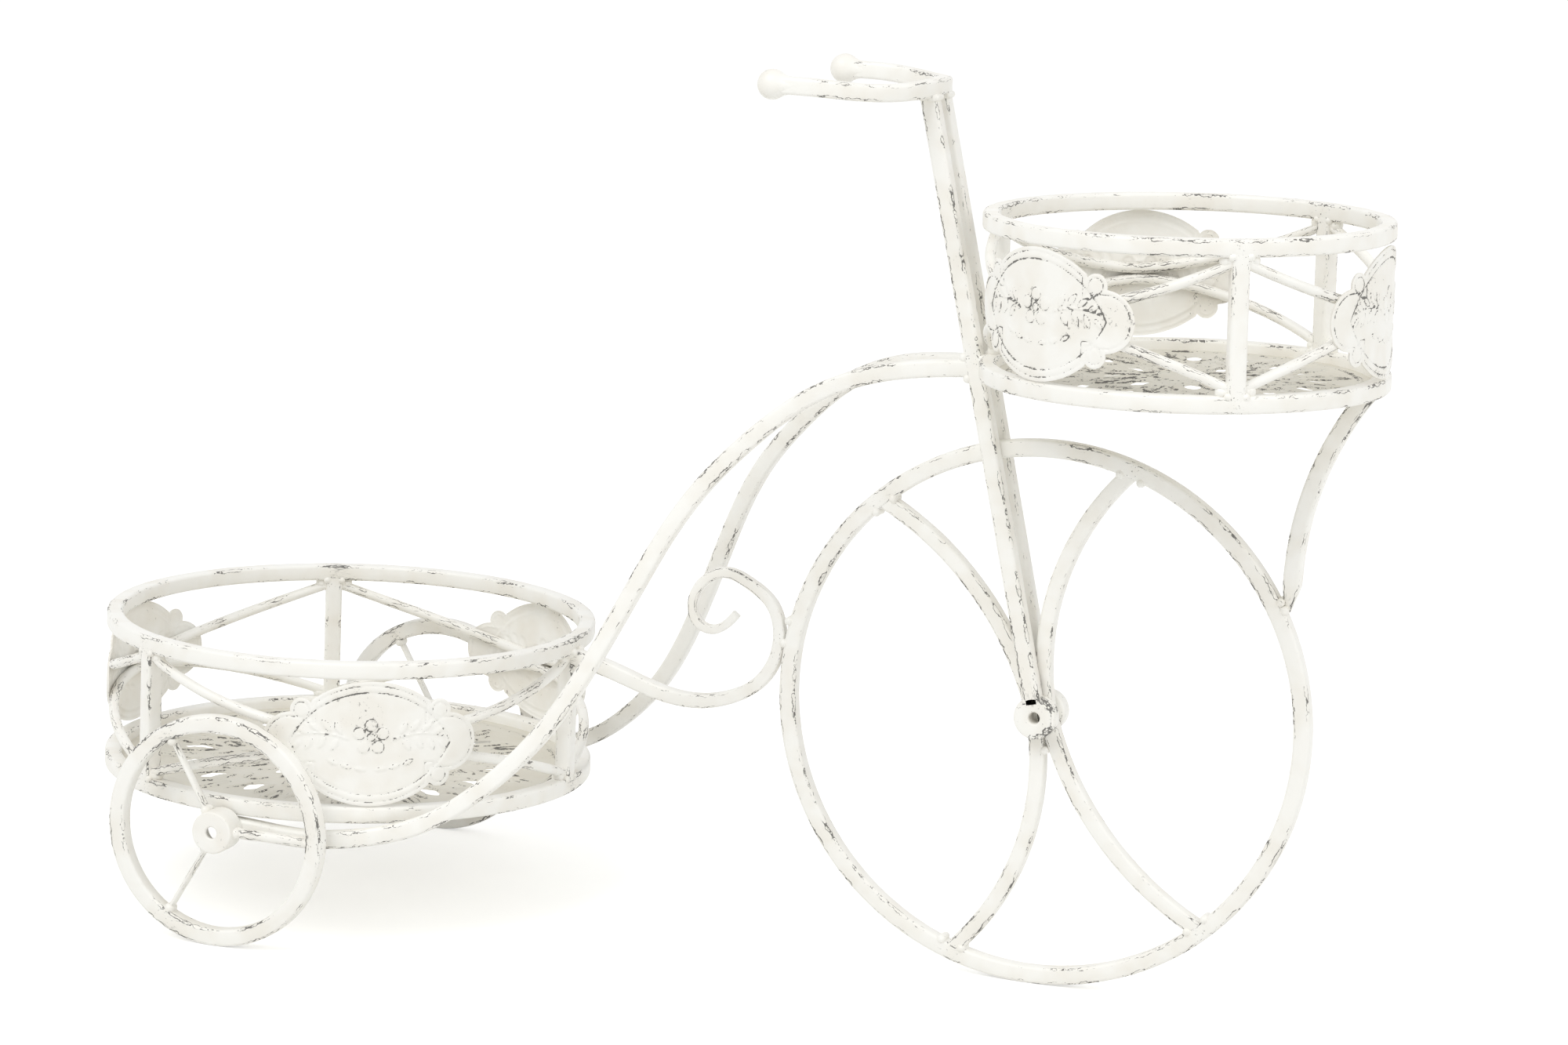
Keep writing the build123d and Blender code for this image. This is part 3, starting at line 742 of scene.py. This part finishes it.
class STAND_OT_rear_wheels(bpy.types.Operator):
    """Rear wheels: rims, hub cups and straight rod spokes"""

    bl_idname = "stand.rear_wheels"
    bl_label = "Rear Wheels"

    def execute(self, context):
        size = prepare(context)
        height = size["rear_wheel"] / 2
        radius = height - size["bar"] / 2
        for seed, (name, side) in enumerate(RIGHT_LEFT):
            axle = np.array([size["front_axle"] - size["wheelbase"], side * size["track"] / 2, height])
            ends = circle(axle, radius, 3, True)
            rim = Line(circle(axle, radius, 96, True), (0, 1, 0), closed=True)
            bar_piece("rear_rim_" + name, rim, size, 10 + seed, ends)
            cup = rounded(REAR_CUP, 1.3)
            place = Matrix.Translation(Vector(axle) * MM) @ Matrix.Rotation(-side * math.pi / 2, 4, "X")
            place = place @ Matrix.Diagonal((1, 1, -1, 1))
            lathe("rear_hub_" + name, cup, place, "painted_bar", 0.4)
            for number, end in enumerate(ends):
                way = (end - axle) / radius
                points = axle + np.linspace(10.5, radius, 20)[:, None] * way
                node = f"rear_spoke_{name}_{number + 1}"
                rod_piece(node, points, size, 20 + 3 * seed + number, joints=[end, axle + 12 * way])
        return {"FINISHED"}


# Rail in side view: back from the front axle, and up
RAIL_SIDE = (
    (44.8, 358.5), (98.9, 352.6), (132.7, 339.5), (169.0, 310.0), (199.1, 274.0), (227.4, 219.0),
    (246.4, 177.5), (269.8, 136.0), (303.7, 99.0), (337.0, 77.6), (366.0, 69.8), (397.0, 66.5),
    (446.0, 69.5), (456.0, 69.5),
)
# Rail in plan: back from the front axle, and out
RAIL_PLAN = (
    (44.8, 8.0), (98.9, 23.0), (132.7, 33.2), (169.0, 46.1), (199.1, 57.2), (227.4, 73.0),
    (246.4, 85.5), (269.8, 99.5), (303.7, 115.4), (337.0, 127.1), (366.0, 135.6), (397.0, 141.4),
    (426.0, 144.0), (456.0, 144.0),
)
# Scroll: back from the front axle, and up
SCROLL = (
    (296.0, 160.5), (273.0, 156.0), (232.0, 144.0), (208.0, 143.0), (191.0, 147.5), (173.5, 158.5),
    (164.0, 174.5), (162.5, 192.0), (168.0, 206.0), (181.0, 216.0), (198.0, 221.5), (211.0, 215.0),
    (217.5, 200.4), (213.5, 189.5), (204.5, 186.5), (195.5, 191.0), (189.8, 197.5),
)


# Stubs: how far outside the basket they stand, their turn, their thickness and their top's height
STUB_OUT, STUB_TURN, STUB_WIDE, STUB_TOP = 2.5, math.radians(63.3), 5.0, 84.0
# Arm: its foot ahead of the axle, its foot's height, its bend, and its turns below and above the foot
ARM = (143.5, 252, 190, 4.5, 35.6)


class STAND_OT_rails(bpy.types.Operator):
    """Rails, their stub posts, the scroll and the arm"""

    bl_idname = "stand.rails"
    bl_label = "Rails, Scroll and Arm"

    def execute(self, context):
        size = prepare(context)
        front = size["front_axle"]
        side_view = smooth_line(RAIL_SIDE, 600)
        plan_view = smooth_line(RAIL_PLAN, 600)
        out = np.interp(side_view[:, 0], plan_view[:, 0], plan_view[:, 1])
        stub_reach = size["rear_basket"] / 2 + STUB_OUT
        basket_x = front - size["wheelbase"] + REAR_BASKET_AHEAD
        for seed, (name, side) in enumerate(RIGHT_LEFT):
            whole = np.stack([front - side_view[:, 0], side * out, side_view[:, 1]], axis=1)
            points = whole[::5]
            stub_x = basket_x + stub_reach * math.cos(STUB_TURN)
            stub_y = side * stub_reach * math.sin(STUB_TURN)
            on_rail = whole[np.argmin(np.abs(whole[:, 0] - stub_x))]
            stub_points = [(stub_x, stub_y, z) for z in np.linspace(on_rail[2], STUB_TOP, 8)]
            joints = [points[0], points[-1], on_rail]
            bar_piece("rail_" + name, Line(points, (0, 1, 0)), size, 30 + seed, joints)
            joints = [stub_points[0], stub_points[-1]]
            rod_piece("rail_stub_" + name, stub_points, size, 32 + seed, STUB_WIDE, joints)
        scroll = smooth_line([(front - back, up) for back, up in SCROLL], 150)
        scroll = scroll[scroll[:, 0] > basket_x + size["rear_basket"] / 2 - 4]
        points = np.stack([scroll[:, 0], 0 * scroll[:, 0], scroll[:, 1]], axis=1)
        girth = np.linspace(1, 0.5, len(points))
        touch = points[np.argmax(points[:, 0])]
        bar_piece("scroll", Line(points, (0, 1, 0), girth), size, 36, [points[0], touch])
        ahead, height, bend, low, high = ARM
        points = circle((front + ahead + bend, 0, height), bend, 70, True, 180 + low, 180 - high)
        # The foot is hammered to a point that lies along the rim
        run = np.linalg.norm(points - points[0], axis=1)
        girth = 0.32 + 0.68 * step_up(run, -4, 17)
        points = points - (1 - girth)[:, None] * np.array([4.2, 0, 1.5])
        bar_piece("basket_arm", Line(points, (0, 1, 0), girth), size, 37, [points[0], points[-1]])
        return {"FINISHED"}


def front_place(size):
    """Where the front basket's own frame lies: its lean and its place."""
    half = Matrix.Translation((0, 0, -size["basket_height"] / 2))
    lean = Matrix.Rotation(math.radians(-1.4), 4, "Y")
    return Matrix.Translation((size["front_axle"] + 72.5, 0, 360 + size["basket_height"] / 2)) @ lean @ half


def baskets(size):
    """Name, radius, first post and place of each basket."""
    rear_x = size["front_axle"] - size["wheelbase"] + REAR_BASKET_AHEAD
    return (
        ("rear_basket", size["rear_basket"] / 2, 0, Matrix.Translation((rear_x, 0, 76))),
        ("front_basket", size["front_basket"] / 2, 60, front_place(size)),
    )


def moved(points, place):
    """Points in millimetres after a matrix in millimetres."""
    turn = np.array(place.to_3x3())
    return np.asarray(points, dtype=float) @ turn.T + np.array(place.translation)


def directed(way, place):
    """A direction after a matrix."""
    return np.array(place.to_3x3() @ Vector(way))


class STAND_OT_baskets(bpy.types.Operator):
    """Basket rings, posts and bent rods"""

    bl_idname = "stand.baskets"
    bl_label = "Baskets"

    def execute(self, context):
        size = prepare(context)
        height, bar = size["basket_height"], size["bar"]
        for basket, (prefix, radius, first, place) in enumerate(baskets(size)):
            seed = 50 + 40 * basket
            middle = radius - bar / 2
            feet = [math.radians(first + 120 * number) for number in range(3)]
            up = directed((0, 0, 1), place)
            for part, z in (("bottom", bar / 2), ("top", height - bar / 2)):
                joints = moved([(middle * math.cos(a), middle * math.sin(a), z) for a in feet], place)
                ring = Line(moved(circle((0, 0, z), middle, 160), place), up, 0.994, closed=True)
                bar_piece(f"{prefix}_{part}_ring", ring, size, seed, joints)
                seed += 1
            for number, foot in enumerate(feet):
                x, y = middle * math.cos(foot), middle * math.sin(foot)
                post = moved([(x, y, z) for z in np.linspace(bar - 2, height - bar + 2, 24)], place)
                lie = directed((math.cos(foot), math.sin(foot), 0), place)
                bar_piece(f"{prefix}_post_{number + 1}", Line(post, lie), size, seed, [post[0], post[-1]])
                seed += 1
                turns = np.linspace(-60, 60, 61)
                shape = size["rod"] / 2 + 32.9 * np.abs(turns / 60) ** 1.6
                turn = np.radians(turns) + foot + math.radians(60)
                for part, sign in (("upper", 1), ("lower", -1)):
                    z = height / 2 + sign * shape
                    line = moved(np.stack([middle * np.cos(turn), middle * np.sin(turn), z], axis=1), place)
                    node = f"{prefix}_{part}_brace_{number + 1}"
                    rod_piece(node, line, size, seed, joints=[line[0], line[-1]])
                    seed += 1
        return {"FINISHED"}


def disc_field(x, y, cx, cy, radius):
    """Distance to a circle's edge, below zero inside it."""
    return np.hypot(x - cx, y - cy) - radius


def plaque_field(x, y):
    """Distance to a plaque's outline, below zero inside it."""
    across, up = np.abs(x), np.abs(y)
    lens = disc_field(across, up, 0, -20.0, 57.0)
    crown = np.maximum(lens, across - 35.0)
    waist = np.maximum(across - 44.0, up - 14.0)
    ends = disc_field(across, up, 46.6, 0, 17.4)
    shoulder = disc_field(across, up, 40.8, 19.3, 6.8)
    return np.minimum.reduce([crown, waist, ends, shoulder])


def plaque_panel(x, y):
    """Distance to the sunk pointed oval in the middle of a plaque."""
    return disc_field(np.abs(x), np.abs(y), 0, -22.0, 54.0)


def leaf(x, y, cx, cy, turn, long, wide):
    """Distance to a pointed leaf with its middle at cx, cy."""
    a = math.radians(turn)
    u = (x - cx) * math.cos(a) + (y - cy) * math.sin(a)
    v = np.abs(-(x - cx) * math.sin(a) + (y - cy) * math.cos(a))
    radius = (long**2 + wide**2) / (4 * wide)
    return np.hypot(u, v + radius - wide / 2) - radius


def plaque_motif(x, y):
    """Distance to the raised ornament: a five-petal flower between two leafy sprigs."""
    parts = [disc_field(x, y, 0, 4, 2.4)]
    for number in range(5):
        a = math.radians(90 + 72 * number)
        parts.append(disc_field(x, y, 7.2 * math.cos(a), 4 + 7.2 * math.sin(a), 3.6))
    across = np.abs(x)
    stem = np.abs(np.hypot(across - 30, y + 38) - 44) - 0.5
    stem = np.maximum(stem, np.maximum(13 - across, across - 44))
    parts.append(stem)
    for cx, cy, turn, long, wide in (
        (19, 9.2, 60, 9, 3.6), (26, 10.5, 50, 9, 3.6), (33, 9.5, 40, 9, 3.4), (40, 7.0, 25, 8, 3.0),
        (21, -0.5, -55, 9, 3.6), (28.5, 0.5, -60, 9, 3.6), (36, -0.5, -65, 8.5, 3.2),
        (43, -1.5, -50, 7, 2.8),
    ):
        parts.append(leaf(across, y, cx, cy, turn, long, wide))
    for cx, cy, turn in ((6, -15, 10), (14, -13.5, 18), (22, -11, 28)):
        parts.append(leaf(across, y, cx, cy, turn, 7, 2.6))
    return np.minimum.reduce(parts)


def step_up(value, low, high):
    """Smooth step from 0 at low to 1 at high."""
    share = np.clip((value - low) / (high - low), 0, 1)
    return share * share * (3 - 2 * share)


def plaque_relief(x, y):
    """Height of the pressed sheet's face: two raised borders and the ornament."""
    inward, panel = -plaque_field(x, y), -plaque_panel(x, y)
    groove = np.exp(-((inward - 2.4) / 0.5) ** 2)
    second = np.exp(-((panel - 1.5) / 0.6) ** 2)
    level = -0.35 + 0.35 * step_up(inward, 0, 1.2) - 0.45 * step_up(panel, 1.0, 2.6)
    level = level - 0.5 * groove - 0.6 * second
    return level + 0.55 * step_up(-plaque_motif(x, y), -0.35, 0.55)


def plaque_marks(x, y):
    """Distance to where the dark coat shows through: the grooves and the ornament's outline."""
    near = np.minimum(np.abs(plaque_field(x, y) + 2.4) + 0.1, np.abs(plaque_panel(x, y) + 1.5))
    return np.minimum(near, np.abs(plaque_motif(x, y)) + 0.17)


class STAND_OT_plaques(bpy.types.Operator):
    """Pressed plaques on the baskets"""

    bl_idname = "stand.plaques"
    bl_label = "Plaques"

    def execute(self, context):
        size = prepare(context)
        for prefix, radius, first, place in baskets(size):
            for number in range(3):
                turn = math.radians(first + 120 * number + 60)

                def bend(s, h, lift):
                    angle = s / radius + turn
                    reach = radius - 0.25 + lift
                    height = h + size["basket_height"] / 2
                    spots = np.stack([reach * np.cos(angle), reach * np.sin(angle), height], axis=1)
                    return moved(spots, place)

                pressed_sheet(
                    f"{prefix}_plaque_{number + 1}", "painted_plaque", plaque_field, plaque_relief,
                    (-66, -38), (66, 38), 0.8, 1.1, bend, PAINTS["sheet"], plaque_marks,
                )
        return {"FINISHED"}


TRAY_ROWS = ((0.36, 8), (0.68, 16))


def in_row(x, y, count, half_step=0.0):
    """Points turned into one of a row's equal sectors: out along its middle, and across it."""
    far = np.hypot(x, y)
    sector = 2 * math.pi / count
    turn = (np.arctan2(y, x) - half_step * sector) % sector - sector / 2
    return far * np.cos(turn), far * np.sin(turn)


def tray_field(radius):
    """Distance to the tray's edge and its holes, below zero in the sheet."""
    def field(x, y):
        edge = np.hypot(x, y) - radius
        holes = np.full_like(edge, 99.0)
        for share, count in TRAY_ROWS:
            u, v = in_row(x, y, count)
            holes = np.minimum(holes, leaf(u, v, share * radius, 0, 0, 19.0, 9.4))
        return np.maximum(edge, -holes)
    return field


def tray_leaves(x, y, radius):
    """Distance to the pressed leaves: pairs beside each hole, a veined leaf between two, and two rings."""
    far = np.hypot(x, y)
    parts = [np.abs(far - 0.93 * radius) - 1.3, np.abs(far - 0.16 * radius) - 1.1]
    for share, count in TRAY_ROWS:
        reach = share * radius
        u, v = in_row(x, y, count)
        v = np.abs(v)
        parts.append(leaf(u, v, reach + 1, 8.2, 12, 27.0, 6.4))
        u, v = in_row(x, y, count, 0.5)
        between = leaf(u, v, reach + 0.1 * radius, 0, 0, 0.22 * radius, 9.0)
        parts.append(np.maximum(between, 0.55 - np.abs(v)))
        parts.append(leaf(u, np.abs(v), reach - 0.12 * radius, 4.0, -28, 15.0, 4.6))
    return np.minimum.reduce(parts)


class STAND_OT_trays(bpy.types.Operator):
    """Pierced and pressed trays in the baskets"""

    bl_idname = "stand.trays"
    bl_label = "Trays"

    def execute(self, context):
        size = prepare(context)
        for prefix, radius, _, place in baskets(size):
            inside = radius - size["bar"] + 0.4
            field = tray_field(inside)

            def relief(x, y):
                raised = step_up(-tray_leaves(x, y, inside), -0.8, 1.4)
                return 1.1 * raised + 0.35 * np.exp(-((field(x, y) + 1.2) / 0.8) ** 2)

            def marks(x, y):
                return np.abs(tray_leaves(x, y, inside))

            def bend(x, y, lift):
                return moved(np.stack([x, y, 3.5 + lift], axis=1), place)

            edge = math.ceil(inside) + 1
            pressed_sheet(
                prefix + "_floor", "painted_floor", field, relief,
                (-edge, -edge), (edge, edge), 1.3, 0.5, bend, PAINTS["tray"], marks,
            )
        return {"FINISHED"}


# Height of the beads where the scroll meets the rear basket
SCROLL_END = 163.5


class STAND_OT_welds(bpy.types.Operator):
    """Weld beads where the bars meet"""

    bl_idname = "stand.welds"
    bl_label = "Welds"

    def execute(self, context):
        size = prepare(context)
        self.join("basket_weld_beads", self.basket_seams(size), size)
        self.join("wheel_weld_beads", self.wheel_seams(size), size)
        self.join("frame_weld_beads", self.frame_seams(size), size)
        return {"FINISHED"}

    def join(self, name, seams, size):
        """One piece of beads from seams of two ends and a bead's share of the common radius."""
        spots, sizes = [], []
        for start, end, share in seams:
            start, end = np.asarray(start, dtype=float), np.asarray(end, dtype=float)
            radius = share * size["weld"]
            count = 2 + int(np.linalg.norm(end - start) / (0.75 * radius))
            spots += [start + (end - start) * step for step in np.linspace(0, 1, count)]
            sizes += [radius * MM] * count
        beads = new_piece(name, np.array(spots) * MM)
        spread(beads.data, "size", np.repeat(sizes, 3), "FLOAT_VECTOR")
        run_tree(beads, TREES["bead"], unevenness=0.001, grain=1 / 0.004, material=PAINTS["cast"])
        mark(beads, 0.6)
        finish_piece(beads, "painted_bar")

    def basket_seams(self, size):
        """Posts and bent rods on the rings."""
        height, bar = size["basket_height"], size["bar"]
        seams = []
        for _, radius, first, place in baskets(size):
            middle = radius - bar / 2
            for number in range(3):
                foot = math.radians(first + 120 * number)
                for z, up in ((bar, 1), (height - bar, -1)):
                    for shift in (-1, 1):
                        ends = []
                        for reach, beside in ((middle - 3.6, 4.8), (middle + 3.6, 4.8)):
                            turn = foot + shift * beside / middle
                            ends.append((reach * math.cos(turn), reach * math.sin(turn), z - up * 0.4))
                        seams.append((*moved(ends, place), 0.72))
                        turns = [foot + shift * beside / middle for beside in (5.5, 8.0)]
                        ends = [(middle * math.cos(a), middle * math.sin(a), z + up * 2) for a in turns]
                        seams.append((*moved(ends, place), 1.1))
        return seams

    def wheel_seams(self, size):
        """Spokes on the rims, the scroll and the arm on the front rim, and the rear spokes' ends."""
        axle = np.array([size["front_axle"], 0, size["front_wheel"] / 2])
        inner, outer = size["front_wheel"] / 2 - 9.6, size["front_wheel"] / 2 + 0.2
        seams = []
        for reach, turn, apart in (
            (inner, 72.0, 2.5), (inner, -48.4, 2.5), (inner, 252.0, 2.5), (inner, 131.6, 2.5),
            (outer, 168.9, 2.5), (outer, 29.6, 0.9),
        ):
            for way in (-1, 1):
                spot = at_turn(axle, reach, turn + way * apart)
                seams.append((spot + (0, -3.8, 0), spot + (0, 3.8, 0), 0.8))
        for turn in (101.8, 281.8):
            spot = at_turn(axle, 21, turn)
            seams.append((spot + (0, -3.6, 0), spot + (0, 3.6, 0), 0.8))
        low = size["rear_wheel"] / 2
        for side in (-1, 1):
            hub = np.array([size["front_axle"] - size["wheelbase"], side * size["track"] / 2, low])
            for reach in (low - size["bar"] - 0.3, 13.0):
                for spot in circle(hub, reach, 3, True):
                    seams.append((spot - (0, 2.0, 0), spot + (0, 2.0, 0), 0.95))
        return seams

    def frame_seams(self, size):
        """Rails and handlebar on the fork, and the scroll on the rear basket's top ring."""
        front, axle = size["front_axle"], size["front_wheel"] / 2
        lean = math.tan(FORK_LEAN)
        seams = []
        for side in (-1, 1):
            for z, shift in ((364.5, -5.6), (352.5, -5.6), (364.0, 5.4), (356.0, 5.4)):
                x = front - lean * (z - axle) + shift
                seams.append(((x, side * 6.5, z), (x, side * 13.0, z), 0.85))
            z = BLADE_TOP - 2
            x = front - lean * (z - axle)
            for shift in (-4.6, 4.6):
                seams.append(((x + shift, side * 6.5, z), (x + shift, side * 13.5, z), 0.7))
            seams.append(((x - 3.5, side * 14.6, z), (x + 3.5, side * 14.6, z), 0.7))
        rear_ring = front - size["wheelbase"] + REAR_BASKET_AHEAD + size["rear_basket"] / 2
        for y in (-4.8, 4.8):
            seams.append(((rear_ring - 6, y, SCROLL_END), (rear_ring + 0.5, y, SCROLL_END), 0.8))
        return seams


class STAND_OT_stage(bpy.types.Operator):
    """Floor, white surround, soft lights and the camera"""

    bl_idname = "stand.stage"
    bl_label = "Stage"

    def execute(self, context):
        scene = context.scene
        look = scene.stand_studio
        corners = [(-30, -30, 0), (30, -30, 0), (30, 30, 0), (-30, 30, 0)]
        floor = new_piece("studio_floor", corners, (), [(0, 1, 2, 3)])
        sheet = bpy.data.materials.new("studio_paper")
        sheet.use_nodes = True
        tree = sheet.node_tree
        tree.nodes.clear()
        any_ray = looking(tree)
        lift = add(tree, "ShaderNodeMath", "MULTIPLY", _0=any_ray, _1=0.46)
        paper = add(tree, "ShaderNodeBsdfDiffuse", Color=(*look.floor, 1))
        glow = add(tree, "ShaderNodeEmission", Color=(1, 1, 1, 1), Strength=lift)
        both = add(tree, "ShaderNodeAddShader", _0=paper, _1=glow)
        add(tree, "ShaderNodeOutputMaterial", Surface=both)
        floor.data.materials.append(sheet)

        world = bpy.data.worlds.new("white_surround")
        world.use_nodes = True
        tree = world.node_tree
        tree.nodes.clear()
        any_ray = looking(tree)
        strength = add(tree, "ShaderNodeMix", {"data_type": "FLOAT"}, _0=any_ray, _2=look.sky, _3=1.0)
        sky = add(tree, "ShaderNodeBackground", Color=(1, 1, 1, 1), Strength=strength)
        add(tree, "ShaderNodeOutputWorld", Surface=sky)
        scene.world = world

        for name, spot, wide, power in (
            ("key_light", (-0.9, -2.2, 3.0), 2.2, look.key),
            ("side_light", (2.4, -0.6, 1.8), 1.6, look.key * 0.35),
        ):
            lamp = bpy.data.lights.new(name, "AREA")
            lamp.size = wide
            lamp.energy = power
            light = bpy.data.objects.new(name, lamp)
            light.location = spot
            light.rotation_euler = (Vector((0, 0, 0.25)) - Vector(spot)).to_track_quat("-Z", "Y").to_euler()
            scene.collection.objects.link(light)

        camera = bpy.data.objects.new("photo_camera", bpy.data.cameras.new("photo_camera"))
        camera.data.lens = look.lens
        camera.data.sensor_width = 36
        camera.data.clip_end = 200
        yaw, pitch, roll = 0.3488, 0.1875, 0.0421
        ahead = Vector((-math.sin(yaw) * math.cos(pitch), math.cos(yaw) * math.cos(pitch), -math.sin(pitch)))
        right = Vector((math.cos(yaw), math.sin(yaw), 0))
        up = right.cross(ahead)
        cos, sin = math.cos(roll), math.sin(roll)
        right, up = cos * right + sin * up, cos * up - sin * right
        place = Matrix((right, up, -ahead)).transposed().to_4x4()
        place.translation = Vector((0.99082, -2.62691, 0.78537))
        camera.matrix_world = place
        scene.collection.objects.link(camera)
        scene.camera = camera
        scene.view_settings.view_transform = "Standard"
        return {"FINISHED"}


class STAND_PT_panel(bpy.types.Panel):
    """Sidebar panel with a button for each group of pieces"""

    bl_idname = "STAND_PT_panel"
    bl_label = "Plant Stand"
    bl_space_type = "VIEW_3D"
    bl_region_type = "UI"
    bl_category = "Plant Stand"

    def draw(self, context):
        for group in (context.scene.stand_sizes, context.scene.stand_paint, context.scene.stand_studio):
            for name in type(group).__annotations__:
                self.layout.prop(group, name)
        for operator in OPERATORS:
            self.layout.operator(operator.bl_idname)


GROUPS = (("stand_sizes", StandSizes), ("stand_paint", StandPaint), ("stand_studio", StandStudio))
OPERATORS = (
    STAND_OT_stage, STAND_OT_front_wheel, STAND_OT_fork, STAND_OT_rear_wheels, STAND_OT_rails,
    STAND_OT_baskets, STAND_OT_plaques, STAND_OT_trays, STAND_OT_welds,
)


def register():
    for name, group in GROUPS:
        bpy.utils.register_class(group)
        setattr(bpy.types.Scene, name, bpy.props.PointerProperty(type=group))
    for kind in (*OPERATORS, STAND_PT_panel):
        bpy.utils.register_class(kind)


def unregister():
    for kind in reversed((*OPERATORS, STAND_PT_panel)):
        bpy.utils.unregister_class(kind)
    for name, group in reversed(GROUPS):
        delattr(bpy.types.Scene, name)
        bpy.utils.unregister_class(group)


def main():
    """Make every piece."""
    register()
    for operator in OPERATORS:
        getattr(bpy.ops.stand, operator.bl_idname.split(".")[1])()


if __name__ == "__main__":
    main()
